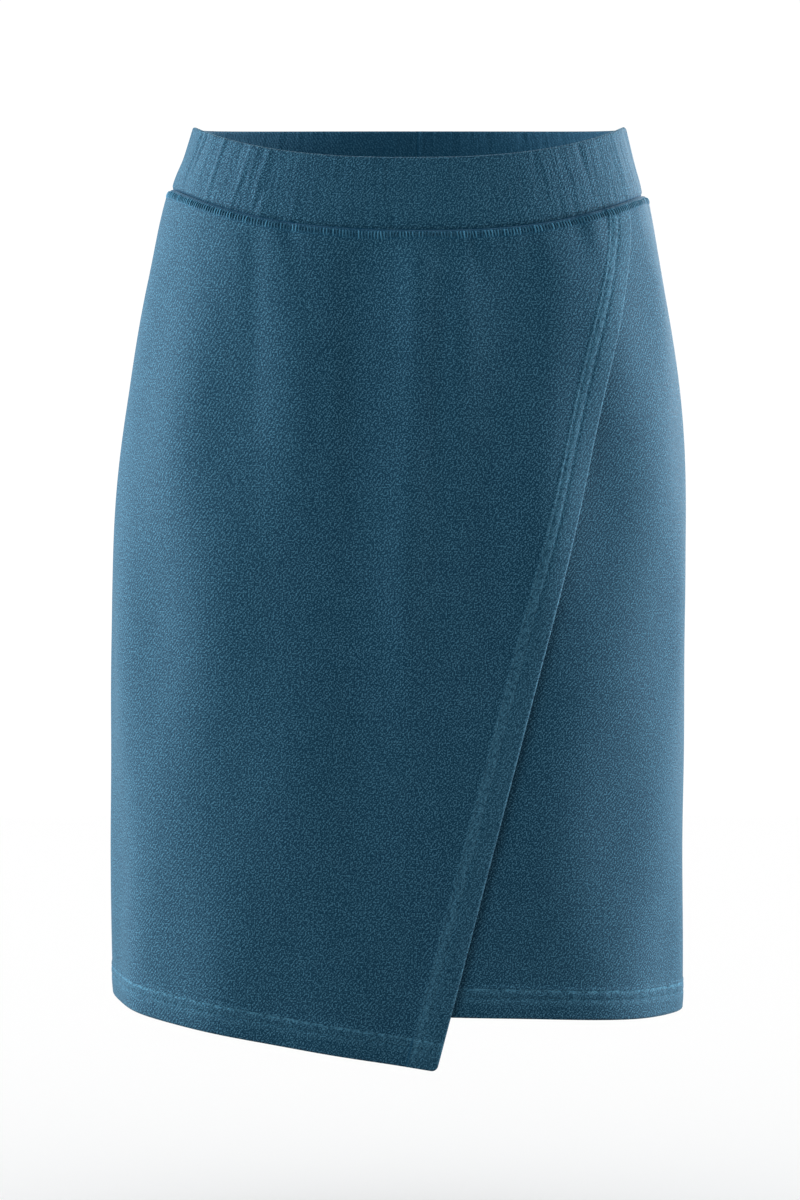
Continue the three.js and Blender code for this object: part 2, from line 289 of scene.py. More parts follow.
class SkirtCloth(bpy.types.PropertyGroup):
    """Sizes and colours of the cloth and of its turned edges."""

    thickness: length("Thickness", "One layer of cloth", 0.0014)
    turning: length("Turning", "Width of the turned hems and of the wrap edge's facing", 0.020)
    near_line: length("Near line", "Stitched line nearer to a turned edge", 0.0126)
    far_line: length("Far line", "Stitched line further from a turned edge", 0.0178)
    curl: length("Curl", "How far the panels' top edges turn in to the waist seam", 0.0012)
    curl_height: length("Curl height", "Height of that curl", 0.006)
    seam_lift: length("Seam lift", "Overlap above the underlap in the waist seam", 0.0021)
    faced_lift: length("Faced lift", "The same where the facing lies between them", 0.0037)
    loose_lift: length("Loose lift", "Overlap above the underlap lower down", 0.0047)
    corner: length("Corner", "Rounding of the overlap's lower corner", 0.0037)
    dark_yarn: colour("Dark yarn", "Darker yarn of the twill", "#022131")
    light_yarn: colour("Light yarn", "Lighter yarn of the twill", "#27495a")
    # Colour of the painted shade in seams and between stitches; the wrong side is also mixed towards it.
    deep: colour("Deep cloth", "Cloth down in a seam or between stitches", "#00263a")
    # Colour of the paler stitched bands, and of the painted highlight along the wrap edge's fold.
    worn: colour("Pale edges and highlight", "Paler cloth along folded edges and stitched ridges", "#3a6275")
    thread: colour("Thread", "Sewing thread", "#2b586e")


class SkirtBand(bpy.types.PropertyGroup):
    """Sizes of the gathered waistband."""

    thickness: length("Thickness", "Folded double cloth round the elastic", 0.003)
    inset: length("Inset", "How far its face stands inside the panels' at the seam", 0.003)
    half_width: length("Half-width", "Half-width at the top fold", 0.140)
    front_depth: length("Front depth", "From the middle to the front at the top fold", 0.100)
    back_depth: length("Back depth", "From the middle to the back at the top fold", 0.103)
    side_top: length("Side top", "Level of the top fold at the sides", 0.0268)
    dip: length("Dip", "How far the top fold dips at centre front", 0.0281)
    rise: length("Rise", "How far it rises at centre back", 0.0082)
    gathers: IntProperty(name="Gathers", description="How many small gathers it has", default=150, min=1)
    gather_height: length("Gather height", "Height of a strong gather", 0.0013)
    seed: IntProperty(name="Seed", description="Seed of the gathers", default=7)


class SkirtStitching(bpy.types.PropertyGroup):
    """Sizes of the stitches."""

    ladder_pitch: length("Ladder pitch", "Spacing of the bars of the waist seam's coverstitch", 0.002)
    ladder_length: length("Ladder length", "Length of a bar", 0.0046)
    ladder_width: length("Ladder width", "Width of a bar", 0.0009)
    ladder_drop: length("Ladder drop", "From the waist seam down to the middle of the bars", 0.0038)
    line_pitch: length("Line pitch", "Spacing of the stitches in a line", 0.003)
    line_length: length("Line length", "Length of a stitch in a line", 0.0025)
    line_width: length("Line width", "Width of a stitch in a line", 0.0005)
    seed: IntProperty(name="Seed", description="Seed of the stitches' unevenness", default=3)


class SkirtStage(bpy.types.PropertyGroup):
    """Floor, light and camera."""

    floor_level: length("Floor level", "Level of the floor below the waist", -0.70)
    side_power: power("Side light", "Power of the left side light", 262)
    right_share: FloatProperty(
        name="Right share", description="Power of the right side light over the left one's", default=1.04
    )
    key_power: power("Key light", "Power of the soft light in front and of the one behind", 29)
    side_angle: FloatProperty(
        name="Side angle",
        description="Angle of the side lights from the front",
        default=math.radians(100),
        unit="ROTATION",
        subtype="ANGLE",
    )
    side_distance: length("Side distance", "From the skirt to each side light", 2.2)
    camera_distance: length("Camera distance", "From the middle of the skirt to the camera", 3.0)


def smooth_line(points):
    """A smooth line through (level, value) points given in millimetres, as a function of the level."""
    levels, values = np.array(sorted(points)).T * MM
    pitch = np.diff(values) / np.diff(levels)
    slope = np.concatenate([pitch[:1], (pitch[:-1] + pitch[1:]) / 2, pitch[-1:]])

    def line(level):
        k = np.clip(np.searchsorted(levels, level) - 1, 0, len(levels) - 2)
        span = levels[k + 1] - levels[k]
        t = (level - levels[k]) / span
        start = values[k] * (1 + 2 * t) * (1 - t) ** 2 + slope[k] * span * t * (1 - t) ** 2
        end = values[k + 1] * t * t * (3 - 2 * t) + slope[k + 1] * span * t * t * (t - 1)
        return start + end

    return line


def ease(value, start, end):
    """0 before the start and 1 past the end, with a soft change between them."""
    t = np.clip((value - start) / (end - start), 0, 1)
    return t * t * (3 - 2 * t)


def hump(value, middle, half_width):
    """A soft hump of height 1."""
    return np.exp(-(((value - middle) / half_width) ** 2))


def blend(start, end, share):
    """The value a share of the way from the start to the end."""
    return start + (end - start) * share


def section(angle):
    """The rounded section at an angle: how far across and how far out in front, each from -1 to 1."""
    across = np.cos(angle)
    out = np.sin(angle)
    power = np.where(out > 0, FRONT_SQUARENESS, BACK_SQUARENESS)
    radius = (np.abs(across) ** power + np.abs(out) ** power) ** (-1 / power)
    return across * radius, out * radius


def outward(surface, angle, height, height_step):
    """The outward direction of a surface given as a function of an angle and a height."""
    step = 0.01
    round_it = surface(angle + step, height) - surface(angle - step, height)
    down = surface(angle, height - height_step) - surface(angle, height + height_step)
    normal = np.cross(round_it, down)
    return normal / np.linalg.norm(normal, axis=-1, keepdims=True)


class BodyForm:
    """The rounded form that every piece lies on."""

    def __init__(self, sizes):
        self.half_width = (sizes.seam_half_width, sizes.hip_half_width, sizes.hem_half_width)
        self.front = (sizes.seam_front_depth, sizes.hip_front_depth, sizes.hem_front_depth)
        self.back = (sizes.seam_back_depth, sizes.hip_back_depth, sizes.hem_back_depth)
        self.middle = smooth_line(LEAN)
        # A table of distances round the form, a little past each end of it.
        self.angles = np.linspace(-0.4, TURN + 0.4, 1801)
        self.levels = np.linspace(-0.64, 0.06, 36)
        grid = self.point(*np.meshgrid(self.angles, self.levels, indexing="ij"))
        steps = np.linalg.norm(np.diff(grid, axis=0), axis=-1)
        self.rounds = np.vstack([np.zeros(len(self.levels)), np.cumsum(steps, axis=0)])

    def reach(self, size, level):
        """A half-width or depth at a level: it fills out from the waist to the hips, then runs straight."""
        seam, hip, hem = size
        above = np.maximum(level - HIP_LEVEL, 0) / (SEAM_LEVEL - HIP_LEVEL)
        below = np.minimum(level - HIP_LEVEL, 0) / (HEM_LEVEL - HIP_LEVEL)
        return hip - (hip - seam) * above**HIP_ROUNDING + (hem - hip) * below

    def point(self, angle, level):
        """A point of the form."""
        across, out = section(angle)
        depth = np.where(out > 0, self.reach(self.front, level), self.reach(self.back, level))
        x = self.middle(level) + self.reach(self.half_width, level) * across
        return np.stack([x, -depth * out, level + 0 * angle], axis=-1)

    def outward(self, angle, level):
        """The form's outward direction."""
        return outward(self.point, angle, level, MM)

    def front_angle(self, x, level):
        """The angle at which the front of the form has a given X."""
        across = np.clip((x - self.middle(level)) / self.reach(self.half_width, level), -1, 1)
        out = (1 - np.abs(across) ** FRONT_SQUARENESS) ** (1 / FRONT_SQUARENESS)
        return np.arctan2(out, across)

    def girth(self, angle, level):
        """The distance round the form to an angle, at a level, from a start behind the right side."""
        i = (angle - self.angles[0]) / (self.angles[1] - self.angles[0])
        j = (level - self.levels[0]) / (self.levels[1] - self.levels[0])
        i0 = np.clip(np.floor(i).astype(int), 0, len(self.angles) - 2)
        j0 = np.clip(np.floor(j).astype(int), 0, len(self.levels) - 2)
        low = blend(self.rounds[i0, j0], self.rounds[i0 + 1, j0], i - i0)
        high = blend(self.rounds[i0, j0 + 1], self.rounds[i0 + 1, j0 + 1], i - i0)
        return blend(low, high, j - j0)

    def further(self, angle, level, distance):
        """The angle a distance further round the form, towards the left in front."""
        target = self.girth(angle, level) + distance
        reached = angle
        for _ in range(3):
            here = self.girth(reached, level)
            speed = (self.girth(reached + 0.01, level) - here) / 0.01
            reached = reached + (target - here) / speed
        return reached


def soft_folds(folds, point, start):
    """How far a set of folds pushes the cloth out at a point of the form."""
    x, y, z = np.moveaxis(point, -1, 0)
    total = np.zeros(x.shape)
    for front, fold_x, drift, width, height, top, bottom in folds:
        drop = top * MM - z
        away = (x - fold_x * MM - drift * drop) / (width * MM)
        strength = ease(drop, 0, start) * (1 - ease(drop, start, (top - bottom) * MM))
        side = (y < 0) == front
        total += np.where(side, height * MM * strength * np.exp(-away * away), 0)
    return total


class Pattern:
    """The lines that bound the pieces, and how far out from the form each layer lies."""

    def __init__(self, scene):
        self.sizes = scene.skirt_form
        self.cloth = scene.skirt_cloth
        self.form = BodyForm(self.sizes)
        self.wrap_x = smooth_line(WRAP_EDGE)
        self.hidden_x = smooth_line(HIDDEN_EDGE)
        random = np.random.default_rng(SHAPES_SEED)
        places = random.uniform(0, TUCK_SPAN, TUCKS)
        widths = random.uniform(*TUCK_WIDTHS, TUCKS) * MM
        heights = random.normal(0, TUCK_HEIGHT, TUCKS) * MM
        fades = random.uniform(*TUCK_FADES, TUCKS) * MM
        self.tucks = np.stack([places, widths, heights, fades], axis=-1)
        turns = random.uniform(*SWELL_TURNS, SWELLS)
        rises = random.uniform(-SWELL_RISE, SWELL_RISE, SWELLS)
        phases = random.uniform(0, TURN, SWELLS)
        heights = random.uniform(*SWELL_HEIGHTS, SWELLS) * MM
        self.swells = np.stack([turns, rises, phases, heights], axis=-1)

    def waist_seam(self, angle):
        across, out = section(angle)
        front = -self.sizes.seam_dip * np.maximum(out, 0) ** SEAM_SHAPE
        behind = self.sizes.seam_rise * np.maximum(-out, 0) ** SEAM_SHAPE
        return self.sizes.side_seam_top - self.sizes.seam_tilt * across + front + behind

    def wrap_edge(self, level):
        return self.form.front_angle(self.wrap_x(level), level)

    def hidden_edge(self, level):
        return self.form.front_angle(self.hidden_x(level), level)

    def right_seam(self, level):
        return RIGHT_SEAM + 0 * level

    def left_seam(self, level):
        return LEFT_SEAM + 0 * level

    def last_seam(self, level):
        """The right side seam again, a whole turn on."""
        return RIGHT_SEAM + TURN + 0 * level

    def overlap_hem(self, angle):
        start = np.full(np.shape(angle), self.sizes.overlap_hem)
        along = self.form.girth(LEFT_SEAM + 0 * start, start) - self.form.girth(angle, start)
        return start - self.sizes.overlap_slope * along

    def underlap_hem(self, angle):
        across, out = section(angle)
        right = np.maximum(0, across)
        sag = self.sizes.underlap_sag * right**2 * np.maximum(0, out)
        return self.sizes.underlap_hem - self.sizes.underlap_tilt * right - sag

    def back_hem(self, angle):
        share = (section(angle)[0] + 1) / 2
        return blend(self.sizes.overlap_hem, self.underlap_hem(np.array(RIGHT_SEAM)), share)

    def lift(self, angle, level):
        """The overlap over the underlap: closest in the waist seam, and down on the form at the left."""
        cloth = self.cloth
        from_edge = (angle - self.wrap_edge(level)) * self.form.reach(self.form.half_width, level)
        in_seam = blend(cloth.faced_lift, cloth.seam_lift, ease(from_edge, 0.024, 0.064))
        loose = ease(self.waist_seam(angle) - level, 0, 0.070)
        over = 1 - ease(angle, self.hidden_edge(level), LEFT_SEAM)
        return blend(in_seam, cloth.loose_lift, loose) * over

    def small_shapes(self, angle, level, drop):
        """Short tucks under the waist seam and very shallow swells below."""
        along = self.form.girth(angle, level)
        total = np.zeros(np.shape(angle))
        for place, width, height, fade in self.tucks:
            total = total + height * hump(along, place, width) * np.exp(-((drop / fade) ** 2))
        for turns, rises, phase, height in self.swells:
            wave = np.sin(turns * angle + rises * TURN * level + phase)
            total = total + height * wave * ease(drop, 0, 0.08)
        return total


class ClothPanel:
    """One panel of cloth: the lines that bound it and where its faces lie."""

    def __init__(self, pattern, start, end, hem, over):
        self.pattern = pattern
        self.start = start
        self.end = end
        self.hem = hem
        self.over = over

    def distances(self, angle, level):
        """Distances below the waist seam, above the hem, and from the panel's two upright edges."""
        form = self.pattern.form
        here = form.girth(angle, level)
        drop = self.pattern.waist_seam(angle) - level
        rise = level - self.hem(angle)
        from_start = here - form.girth(self.start(level), level)
        from_end = form.girth(self.end(level), level) - here
        return drop, rise, from_start, from_end

    def faces(self, angle, level):
        """How far out from the form the outer face lies, and how thick the cloth is there."""
        cloth = self.pattern.cloth
        drop, rise, from_start, from_end = self.distances(angle, level)
        point = self.pattern.form.point(angle, level)
        out = soft_folds(FOLDS, point, FOLD_START) + soft_folds(CREASES, point, 12 * MM)
        calm = ease(np.minimum(from_end, np.inf if self.over else from_start), 0, CALM)
        out = out + self.pattern.small_shapes(angle, level, drop) * calm
        out = out - cloth.curl * (1 - ease(drop, 0, cloth.curl_height))
        out = out - SEAM_ROLL * (1 - ease(drop, 0, SEAM_ROLL_HEIGHT))
        if self.over:
            out = out + self.pattern.lift(angle, level)
            turned_edges = (rise, from_start)
            sewn_edges = (from_end,)
        else:
            turned_edges = (rise,)
            sewn_edges = (from_start, from_end)
        along = self.pattern.form.girth(angle, level)
        turned = np.zeros(np.shape(angle))
        for distance in turned_edges:
            past = distance - cloth.turning
            turned = np.maximum(turned, 1 - ease(past, -0.4 * MM, 0.5 * MM))
            out = out + RIDGE * ease(distance, 0, 9 * MM) * (1 - ease(past, -MM, MM))
            run = along if distance is rise else level
            pucker = np.sin(TURN * run / PUCKER_STEP + 1.4 * np.sin(TURN * run / PUCKER_CHANGE))
            out = out + PUCKER * pucker * hump(distance, 15 * MM, 5 * MM)
            for line in (cloth.near_line, cloth.far_line):
                out = out - LINE_GROOVE * hump(distance, line, LINE_GROOVE_WIDTH)
        for distance in sewn_edges:
            out = out - SEAM_GROOVE * (1 - ease(distance, 0, SEAM_GROOVE_WIDTH))
        thickness = cloth.thickness + turned * (cloth.thickness + 0.1 * MM)
        return out, thickness

    def outer(self, angle, level):
        """Points of the outer face and the outward direction there."""
        normal = self.pattern.form.outward(angle, level)
        out, _ = self.faces(angle, level)
        return self.pattern.form.point(angle, level) + normal * out[..., None], normal

    def crossings(self, columns, rows, corner):
        """Where the upright lines cross the level ones: angles, levels and a share of the thickness."""
        start, end, across = (values[:, None] + 0 * rows[0][None, :] for values in columns)
        top, bottom, down = (values[None, :] + 0 * columns[0][:, None] for values in rows)
        rim = self.rim(start, self.over) * self.rim(end, False)
        rim = rim * self.rim(top, False) * self.rim(bottom, True)
        if self.over:
            x = np.clip(1 - start / corner, 0, 1)
            y = np.clip(1 - bottom / corner, 0, 1)
            start = np.where(x > 0, corner * (1 - x * np.sqrt(1 - y * y / 2)), start)
            bottom = np.where(y > 0, corner * (1 - y * np.sqrt(1 - x * x / 2)), bottom)
        level = np.full(start.shape, HIP_LEVEL)
        form = self.pattern.form
        for _ in range(CROSSING_PASSES):
            from_start = form.further(self.start(level), level, start - (0 if self.over else SEAM_LAP))
            from_end = form.further(self.end(level), level, SEAM_LAP - end)
            angle = blend(from_start, from_end, across)
            level = blend(self.pattern.waist_seam(angle) - top, self.hem(angle) + bottom, down)
        return angle, level, rim

    def rim(self, distance, turned):
        """1 inside the panel, falling to 0 at an edge so that the edge is round."""
        cloth = self.pattern.cloth
        radius = (cloth.thickness if turned else cloth.thickness / 2) + (0.05 * MM if turned else 0)
        return np.sqrt(1 - (1 - np.clip(distance / radius, 0, 1)) ** 2)


def edge_steps(cloth, steps, turned):
    """Distances of the lines next to an edge, closest together where it is round."""
    radius = cloth.thickness + 0.05 * MM if turned else cloth.thickness / 2
    return np.concatenate([np.array(ROUND_STEPS) * radius, np.array(steps) * MM])


def spacing(near_start, near_end, middle):
    """For each line across a panel: its distance from the start, its distance from the end, and its
    share of the way between the last line near the start and the first one near the end."""
    late = near_end[::-1]
    shares = np.arange(1, middle + 1) / (middle + 1)
    start = np.concatenate([near_start, np.full(middle + len(late), near_start[-1])])
    end = np.concatenate([np.full(len(near_start) + middle, late[0]), late])
    share = np.concatenate([np.zeros(len(near_start)), shares, np.ones(len(late))])
    return start, end, share


def shell(name, middle, half, normal, uv, attributes, closed=False):
    """A closed skin of cloth from a grid of middle points and half-thicknesses. Columns run on round the
    skirt and rows run down. Where the half-thickness is 0 the two faces share their points."""
    columns, rows = half.shape
    outer = np.arange(columns * rows).reshape(columns, rows)
    inner = outer.copy()
    apart = half > 0
    inner[apart] = columns * rows + np.arange(np.count_nonzero(apart))
    away = normal * half[..., None]
    points = np.concatenate([(middle + away).reshape(-1, 3), (middle - away)[apart]])
    last = columns if closed else columns - 1
    i, j = np.meshgrid(np.arange(last), np.arange(rows - 1), indexing="ij")
    after = (i + 1) % columns
    front = np.stack([outer[i, j], outer[after, j], outer[after, j + 1], outer[i, j + 1]], axis=-1)
    behind = np.stack([inner[i, j], inner[i, j + 1], inner[after, j + 1], inner[after, j]], axis=-1)
    mesh = bpy.data.meshes.new(name)
    faces = np.concatenate([front.reshape(-1, 4), behind.reshape(-1, 4)])
    mesh.from_pydata(points.tolist(), [], faces.tolist())
    front_uv = np.stack([uv[i, j], uv[i + 1, j], uv[i + 1, j + 1], uv[i, j + 1]], axis=-2).reshape(-1, 2)
    behind_uv = np.stack([uv[i, j], uv[i, j + 1], uv[i + 1, j + 1], uv[i + 1, j]], axis=-2).reshape(-1, 2)
    layer = mesh.uv_layers.new(name=UV_MAP)
    layer.data.foreach_set("uv", np.concatenate([front_uv, behind_uv]).ravel())
    attributes = {**attributes, "wrong_side": np.zeros(half.shape)}
    for key, values in attributes.items():
        behind_values = values[apart] + (1.0 if key == "wrong_side" else 0.0)
        flat = np.concatenate([values.ravel(), behind_values])
        mesh.attributes.new(key, "FLOAT", "POINT").data.foreach_set("value", flat)
    mesh.polygons.foreach_set("use_smooth", [True] * len(mesh.polygons))
    piece = bpy.data.objects.new(name, mesh)
    bpy.context.scene.collection.objects.link(piece)
    return piece


def panel_piece(name, panel, columns, material):
    """The mesh of one panel."""
    cloth = panel.pattern.cloth
    form = panel.pattern.form
    rows = spacing(edge_steps(cloth, WAIST_STEPS, False), edge_steps(cloth, TURNED_STEPS, True), PANEL_ROWS)
    angle, level, rim = panel.crossings(columns, rows, cloth.corner)
    out, thickness = panel.faces(angle, level)
    normal = form.outward(angle, level)
    middle = form.point(angle, level) + normal * (out - thickness / 2)[..., None]
    drop, rise, from_start, from_end = panel.distances(angle, level)
    far = np.full(drop.shape, 1.0)
    attributes = {
        "below_waist": drop,
        "above_hem": rise,
        "from_wrap_edge": from_start if panel.over else far,
        "from_side_seam": from_end if panel.over else np.minimum(from_start, from_end),
        "facing_end": from_start - cloth.turning + far * (rise > cloth.turning if panel.over else 1),
    }
    uv = np.stack([-form.girth(angle, level), level], axis=-1)
    piece = shell(name, middle, thickness / 2 * rim, normal, uv, attributes)
    piece.data.materials.append(material)
    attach(piece, "root")
    return piece


# ---- Materials ----


def add_node(tree, kind, inputs=None, **settings):
    """Adds a node, sets its properties and fills its inputs with values or links."""
    node = tree.nodes.new(kind)
    for key, value in settings.items():
        setattr(node, key, value)
    for key, value in (inputs or {}).items():
        if isinstance(value, bpy.types.NodeSocket):
            tree.links.new(value, node.inputs[key])
        else:
            node.inputs[key].default_value = value
    return node


def calc(tree, operation, *values):
    """The result of a maths node."""
    return add_node(tree, "ShaderNodeMath", dict(enumerate(values)), operation=operation).outputs[0]


def noise(tree, place, scale, detail, roughness=0.5):
    """The outputs of a flat noise; the scale is in patches for each metre, or each unit of the place."""
    inputs = {"Vector": place, "Scale": scale, "Detail": detail, "Roughness": roughness}
    return add_node(tree, "ShaderNodeTexNoise", inputs, noise_dimensions="2D").outputs


def stretched(tree, place, size, turn=0.0):
    """A place measured in patches of the given size, turned."""
    inputs = {"Vector": place, "Rotation": (0, 0, turn), "Scale": (*size, 1)}
    return add_node(tree, "ShaderNodeMapping", inputs, vector_type="TEXTURE").outputs[0]


def stored(tree, name):
    """A value stored on the points of the mesh."""
    return add_node(tree, "ShaderNodeAttribute", attribute_name=name).outputs["Fac"]


def mixed(tree, share, first, second):
    """The first colour with a share of the second mixed in."""
    if not isinstance(first, bpy.types.NodeSocket):
        first = (*first, 1)
    inputs = {0: share, 6: first, 7: (*second, 1)}
    return add_node(tree, "ShaderNodeMix", inputs, data_type="RGBA").outputs[2]


def near(tree, name, low, high):
    """1 where a distance stored on the mesh lies between two values in millimetres, and 0 elsewhere."""
    return calc(tree, "COMPARE", stored(tree, name), (low + high) / 2 * MM, (high - low) / 2 * MM)


def surface(tree, colour, height, strength, roughness, **settings):
    """Ends a material: a bumped surface of one colour."""
    bump = add_node(tree, "ShaderNodeBump", {"Height": height, "Strength": strength, "Distance": 1.0})
    inputs = {"Base Color": colour, "Roughness": roughness, "Normal": bump.outputs[0]}
    inputs.update({key.replace("_", " "): value for key, value in settings.items()})
    shader = add_node(tree, "ShaderNodeBsdfPrincipled", inputs)
    add_node(tree, "ShaderNodeOutputMaterial", {"Surface": shader.outputs[0]})


def new_material(name):
    """An empty material that uses nodes."""
    material = bpy.data.materials.new(name)
    material.use_nodes = True
    material.node_tree.nodes.clear()
    return material


def twill_material(name, cloth, gathered):
    """Matt cotton twill with fine ribs that slant up to the right. Its fuzz takes away nearly all gloss,
    the yarns' uneven dye gives a heathered grain, the folded wrap edge carries a painted highlight, and the
    stitched hems and facing are paler."""
    material = new_material(name)
    tree = material.node_tree
    uv = add_node(tree, "ShaderNodeUVMap", uv_map=UV_MAP).outputs[0]
    # The ribs wander by about half a millimetre.
    wander = noise(tree, uv, 110.0, 1.0)["Color"]
    centred = {0: wander, 1: (0.5, 0.5, 0.5)}
    wander = add_node(tree, "ShaderNodeVectorMath", centred, operation="SUBTRACT").outputs[0]
    moved = {0: wander, 1: (1.6 * MM, 1.6 * MM, 0), 2: uv}
    place = add_node(tree, "ShaderNodeVectorMath", moved, operation="MULTIPLY_ADD").outputs[0]
    turns = TURN / RIB_STEP
    across = {0: place, 1: (turns * math.sin(RIB_ANGLE), -turns * math.cos(RIB_ANGLE), 0)}
    phase = add_node(tree, "ShaderNodeVectorMath", across, operation="DOT_PRODUCT").outputs["Value"]
    rib = calc(tree, "SINE", phase)
    yarn = noise(tree, stretched(tree, place, YARN_SIZE, RIB_ANGLE), 1.0, 1.0)[0]
    grain = noise(tree, uv, 1150.0, 0.0)[0]
    mottle = noise(tree, uv, 60.0, 3.0, 0.6)[0]
    # From darker to lighter yarn: the noises lie round a half, so half their shares is taken off.
    shares = ((rib, 0.2), (yarn, 1.5), (grain, 2.9), (mottle, 0.3))
    tone = 0.15 - sum(share for value, share in shares[1:]) / 2
    for value, share in shares:
        tone = calc(tree, "MULTIPLY_ADD", value, share, tone)
    shown = mixed(tree, tone, cloth.dark_yarn, cloth.light_yarn)
    # Paler bands on the stitched hems and facing, and a painted highlight along the wrap edge's fold.
    paleness_and_highlight = 0.0
    for key, low, high, strength in PALE_BANDS_AND_HIGHLIGHT:
        paleness_and_highlight = calc(tree, "MULTIPLY_ADD", near(tree, key, low, high), strength, paleness_and_highlight)
    uneven = noise(tree, uv, 330.0, 3.0, 0.75)[0]
    uneven = add_node(tree, "ShaderNodeMapRange", {0: uneven, 1: 0.38, 2: 0.62, 3: 0.0, 4: 2.0})
    shown = mixed(tree, calc(tree, "MULTIPLY", paleness_and_highlight, uneven.outputs[0]), shown, cloth.worn)
    # Painted shade: darker in seams, between the ladder's bars, along the side seams and at the facing's
    # inner end.
    for key, low, high, strength in SHADED:
        shown = mixed(tree, calc(tree, "MULTIPLY", near(tree, key, low, high), strength), shown, cloth.deep)
    # The wrong side shows more of the darker yarn.
    shown = mixed(tree, calc(tree, "MULTIPLY", stored(tree, "wrong_side"), 0.5), shown, cloth.deep)
    roughness = calc(tree, "MULTIPLY_ADD", grain, 0.25, 0.70)
    # Ribs, yarns and fuzz each stand about 0.1 mm high.
    height = calc(tree, "MULTIPLY", rib, 0.045 * MM)
    height = calc(tree, "MULTIPLY_ADD", yarn, 0.08 * MM, height)
    height = calc(tree, "MULTIPLY_ADD", grain, 0.09 * MM, height)
    if gathered:
        ripple = noise(tree, stretched(tree, uv, RIPPLE_SIZE), 1.0, 2.0)[0]
        height = calc(tree, "MULTIPLY_ADD", ripple, 0.8 * MM, height)
    # Hardly any gloss, and a trace of bluish fuzz where the cloth turns away.
    surface(
        tree, shown, height, 0.8, roughness,
        Specular_IOR_Level=0.06, Sheen_Weight=0.05, Sheen_Roughness=0.45, Sheen_Tint=(0.72, 0.91, 1.0, 1.0),
    )
    return material


def thread_material(cloth):
    """Dull spun thread, a little smoother and paler than the cloth, so that the stitches just show."""
    material = new_material("spun thread")
    tree = material.node_tree
    place = add_node(tree, "ShaderNodeTexCoord").outputs["Object"]
    # Its twist shows as patches of about 0.9 mm.
    twist = add_node(tree, "ShaderNodeTexNoise", {"Vector": place, "Scale": 1100.0, "Detail": 2.0}).outputs[0]
    tone = calc(tree, "MULTIPLY_ADD", twist, 0.5, stored(tree, "shade"))
    tone = calc(tree, "MULTIPLY", tone, 0.6)
    shown = mixed(tree, tone, cloth.dark_yarn, cloth.thread)
    height = calc(tree, "MULTIPLY", twist, 0.1 * MM)
    roughness = calc(tree, "MULTIPLY_ADD", twist, 0.2, 0.55)
    surface(
        tree, shown, height, 0.7, roughness,
        Specular_IOR_Level=0.05, Sheen_Weight=0.02, Sheen_Tint=(0.6, 0.85, 1.0, 1.0),
    )
    return material


def made_material(name, make):
    """A material by name, made the first time it is asked for."""
    return bpy.data.materials.get(name) or make()


def twill(cloth, gathered):
    """The panels' brushed twill, or the band's gathered one."""
    name = "gathered cotton twill" if gathered else "brushed cotton twill"
    return made_material(name, lambda: twill_material(name, cloth, gathered))


# ---- Stitches ----


